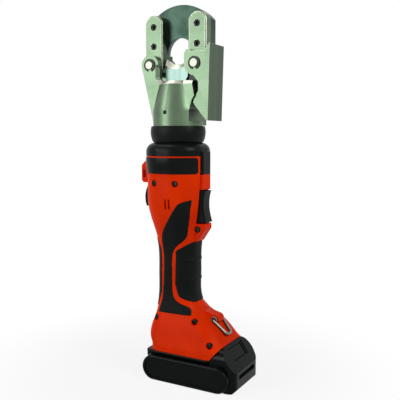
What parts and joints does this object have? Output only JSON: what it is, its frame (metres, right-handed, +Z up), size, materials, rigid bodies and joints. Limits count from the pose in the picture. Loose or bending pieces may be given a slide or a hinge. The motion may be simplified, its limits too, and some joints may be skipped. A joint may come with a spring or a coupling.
{
  "type": "cordless hydraulic cable cutter",
  "caption": "Battery hydraulic cable cutter with a swivelling flip-top shear head, hinged blade frame and latch, trigger grip and slide-on pack.",
  "frame": {"origin": "on the ram axis at the flat underside of the battery pack", "axes": "+Z up the ram axis towards the cutting head, +X to the trigger side, -Y to the side with the label plate"},
  "size_m": [0.1265, 0.072, 0.3921],
  "materials": {
    "housing_orange": "moulded, satin",
    "black_plastic": "moulded, fine grain",
    "grip_rubber": "overmoulded, matt",
    "head_metal": "nickel plated, satin",
    "blade_steel": "ground and hardened",
    "pin_steel": "turned",
    "screw_steel": "black oxide",
    "collar_rubber": "moulded, matt",
    "drive_metal": "cast and machined",
    "motor_steel": "pressed",
    "seal_rubber": "moulded",
    "board_green": "laminate",
    "cell_wrap": "shrink wrap"
  },
  "bodies": {
    "handle": {"near_shell": "housing_orange", "far_shell": "housing_orange", "nose_cover": "black_plastic", "label_plate": "black_plastic", "side_grip_near": "grip_rubber", "side_grip_far": "grip_rubber", "front_grip": "grip_rubber", "back_strap": "grip_rubber", "housing_screws": "screw_steel", "battery_rail": "black_plastic", "terminal_block": "black_plastic", "control_board": "board_green", "motor": "motor_steel", "gearbox": "drive_metal", "pump_block": "drive_metal", "pressure_pipe": "pin_steel", "oil_bladder": "seal_rubber", "release_valve": "pin_steel", "trigger_switch": "black_plastic", "trigger_pin": "pin_steel", "lever_pin": "pin_steel"},
    "head": {"neck": "head_metal", "yoke": "head_metal", "collar": "collar_rubber", "set_screw": "screw_steel", "hinge_pin": "pin_steel", "hinge_pin_clips": "screw_steel"},
    "ram": {"piston": "pin_steel", "piston_seal": "seal_rubber", "ram_rod": "pin_steel", "lower_blade": "blade_steel", "blade_pin": "pin_steel"},
    "blade_frame": {"hinge_arm": "head_metal", "latch_arm": "head_metal", "upper_blade": "blade_steel", "blade_screws": "screw_steel", "latch_pin": "pin_steel", "latch_pin_clips": "screw_steel"},
    "latch": {"latch": "head_metal"},
    "trigger": {"trigger": "black_plastic"},
    "release_lever": {"release_lever": "black_plastic"},
    "battery": {"battery_case": "black_plastic", "battery_cover": "black_plastic", "battery_cells": "cell_wrap"},
    "battery_button": {"battery_button": "black_plastic"},
    "lanyard_bail": {"lanyard_bail": "pin_steel"}
  },
  "joints": [
    {"name": "head_swivel", "type": "hinge", "parent": "handle", "child": "head", "pos_m": [0, 0, 0.25], "axis": [0, 0, 1], "range_deg": [-175, 175]},
    {"name": "ram_slide", "type": "slide", "parent": "head", "child": "ram", "axis": [0, 0, 1], "range_m": [0, 0.028], "stiffness_N_per_m": 300, "springref_m": -0.03},
    {"name": "frame_hinge", "type": "hinge", "parent": "head", "child": "blade_frame", "pos_m": [-0.026, 0.0043, 0.33], "axis": [0, -1, 0], "range_deg": [0, 95]},
    {"name": "latch_pivot", "type": "hinge", "parent": "blade_frame", "child": "latch", "pos_m": [0.026, 0.0043, 0.33], "axis": [0, -1, 0], "range_deg": [0, 12]},
    {"name": "trigger_press", "type": "hinge", "parent": "handle", "child": "trigger", "pos_m": [0.027, 0, 0.1975], "axis": [0, 1, 0], "range_deg": [0, 8], "stiffness_Nm_per_rad": 1.5, "springref_deg": -2.86},
    {"name": "release_press", "type": "hinge", "parent": "handle", "child": "release_lever", "pos_m": [-0.0275, 0, 0.2005], "axis": [0, -1, 0], "range_deg": [0, 6], "stiffness_Nm_per_rad": 1, "springref_deg": -2.86},
    {"name": "battery_slide", "type": "slide", "parent": "handle", "child": "battery", "axis": [1, 0, 0], "range_m": [0, 0.11]},
    {"name": "button_press", "type": "slide", "parent": "battery", "child": "battery_button", "axis": [-0.815, 0, -0.5795], "range_m": [0, 0.002], "stiffness_N_per_m": 1500, "springref_m": -0.001},
    {"name": "bail_swing", "type": "hinge", "parent": "handle", "child": "lanyard_bail", "pos_m": [0.047, 0, 0.066], "axis": [0, -1, 0], "range_deg": [0, 120]}
  ]
}
